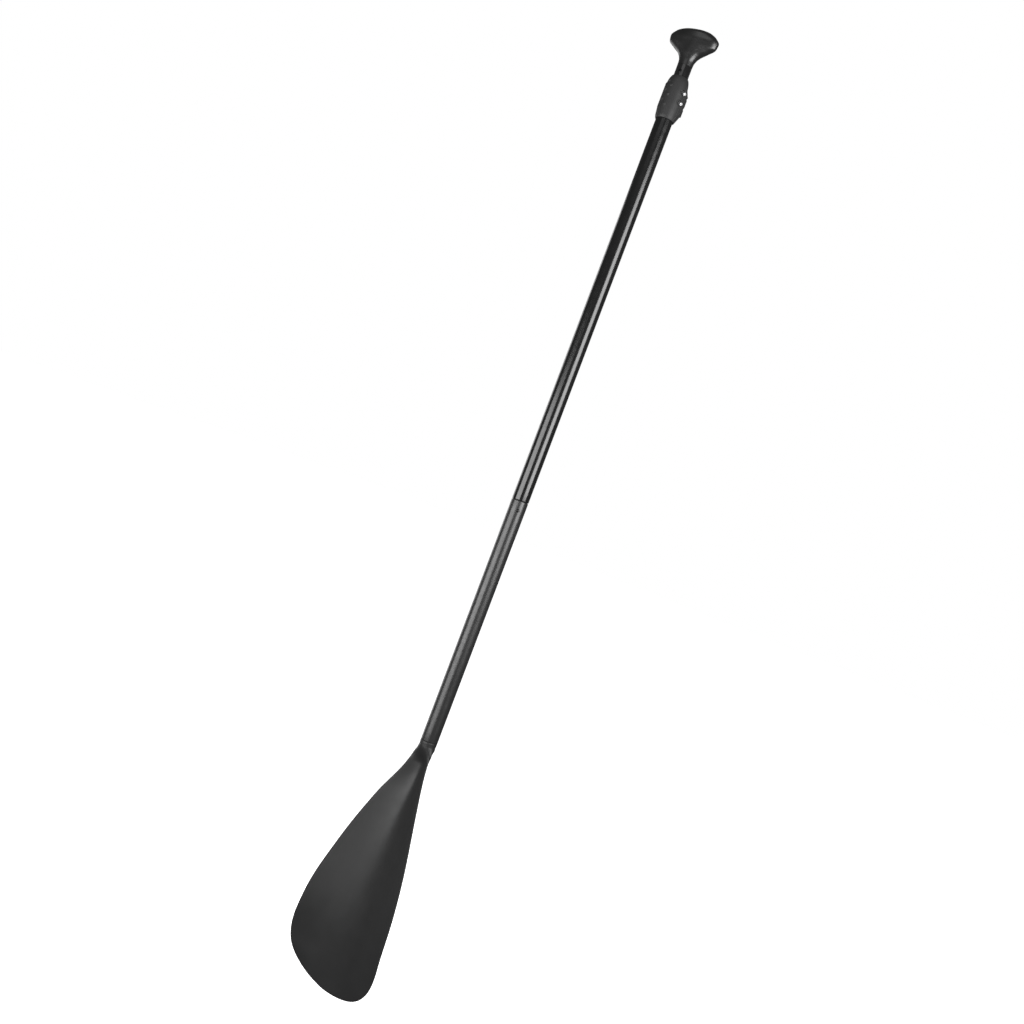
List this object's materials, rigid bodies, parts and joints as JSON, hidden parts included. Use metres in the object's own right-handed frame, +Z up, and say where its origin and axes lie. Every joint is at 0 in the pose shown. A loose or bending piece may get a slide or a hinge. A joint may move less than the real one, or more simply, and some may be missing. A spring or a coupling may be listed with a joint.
{
  "type": "paddle",
  "caption": "Adjustable single-blade paddle: cupped teardrop blade, black aluminium shaft in joined sections, cam-lever clamp collar, sliding extension tube and palm grip.",
  "frame": {"origin": "on the shaft's axis where the blade's shoulder meets the lower shaft tube", "axes": "+Z up along the shaft to the grip, +X across the blade, the blade's cupped face towards -Y"},
  "size_m": [0.206, 0.0701, 1.6817],
  "materials": {
    "blade": "moulded satin",
    "lower_shaft": "black anodised, satin",
    "upper_shaft": "black anodised, semi-gloss",
    "extension_tube": "black anodised, semi-gloss",
    "section_ferrule": "plain mill finish",
    "clamp_collar": "moulded matte",
    "clamp_lever": "moulded matte",
    "grip": "moulded gloss",
    "guide_bush": "moulded matte",
    "extension_end_plug": "moulded matte",
    "float_plug": "closed-cell foam",
    "snap_button": "blackened steel",
    "snap_spring": "spring steel strip",
    "blade_rivet": "blackened",
    "ferrule_rivet": "blackened",
    "grip_screw": "blackened steel",
    "clamp_bolt_upper": "bright stainless",
    "clamp_bolt_lower": "bright stainless",
    "clamp_washer_upper": "stainless",
    "clamp_washer_lower": "stainless",
    "cam_plate": "stainless",
    "cam_barrel": "stainless"
  },
  "bodies": {
    "shaft": {"blade": "blade", "lower_shaft": "lower_shaft", "upper_shaft": "upper_shaft", "section_ferrule": "section_ferrule", "clamp_collar": "clamp_collar", "float_plug": "float_plug", "snap_spring": "snap_spring", "blade_rivet": "blade_rivet", "ferrule_rivet": "ferrule_rivet", "clamp_bolt_upper": "clamp_bolt_upper", "clamp_bolt_lower": "clamp_bolt_lower", "clamp_washer_upper": "clamp_washer_upper", "clamp_washer_lower": "clamp_washer_lower", "cam_plate": "cam_plate", "cam_barrel": "cam_barrel"},
    "lever": {"clamp_lever": "clamp_lever"},
    "button": {"snap_button": "snap_button"},
    "bush": {"guide_bush": "guide_bush"},
    "extension": {"extension_tube": "extension_tube", "extension_end_plug": "extension_end_plug", "grip": "grip", "grip_screw": "grip_screw"}
  },
  "joints": [
    {"name": "extension_slide", "type": "slide", "parent": "shaft", "child": "bush", "axis": [0, 0, 1], "range_m": [0, 0.4]},
    {"name": "grip_turn", "type": "hinge", "parent": "bush", "child": "extension", "pos_m": [0, 0, 1.2], "axis": [0, 0, 1], "continuous": true},
    {"name": "lever_swing", "type": "hinge", "parent": "shaft", "child": "lever", "pos_m": [0.01021, 0.019, 1.1295], "axis": [0, 0, -1], "range_deg": [0, 120]},
    {"name": "button_press", "type": "slide", "parent": "shaft", "child": "button", "axis": [-0.7431, 0.6691, 0], "range_m": [0, 0.0028], "stiffness_N_per_m": 3000, "springref_m": -0.001, "deforming": ["snap_spring"]}
  ]
}
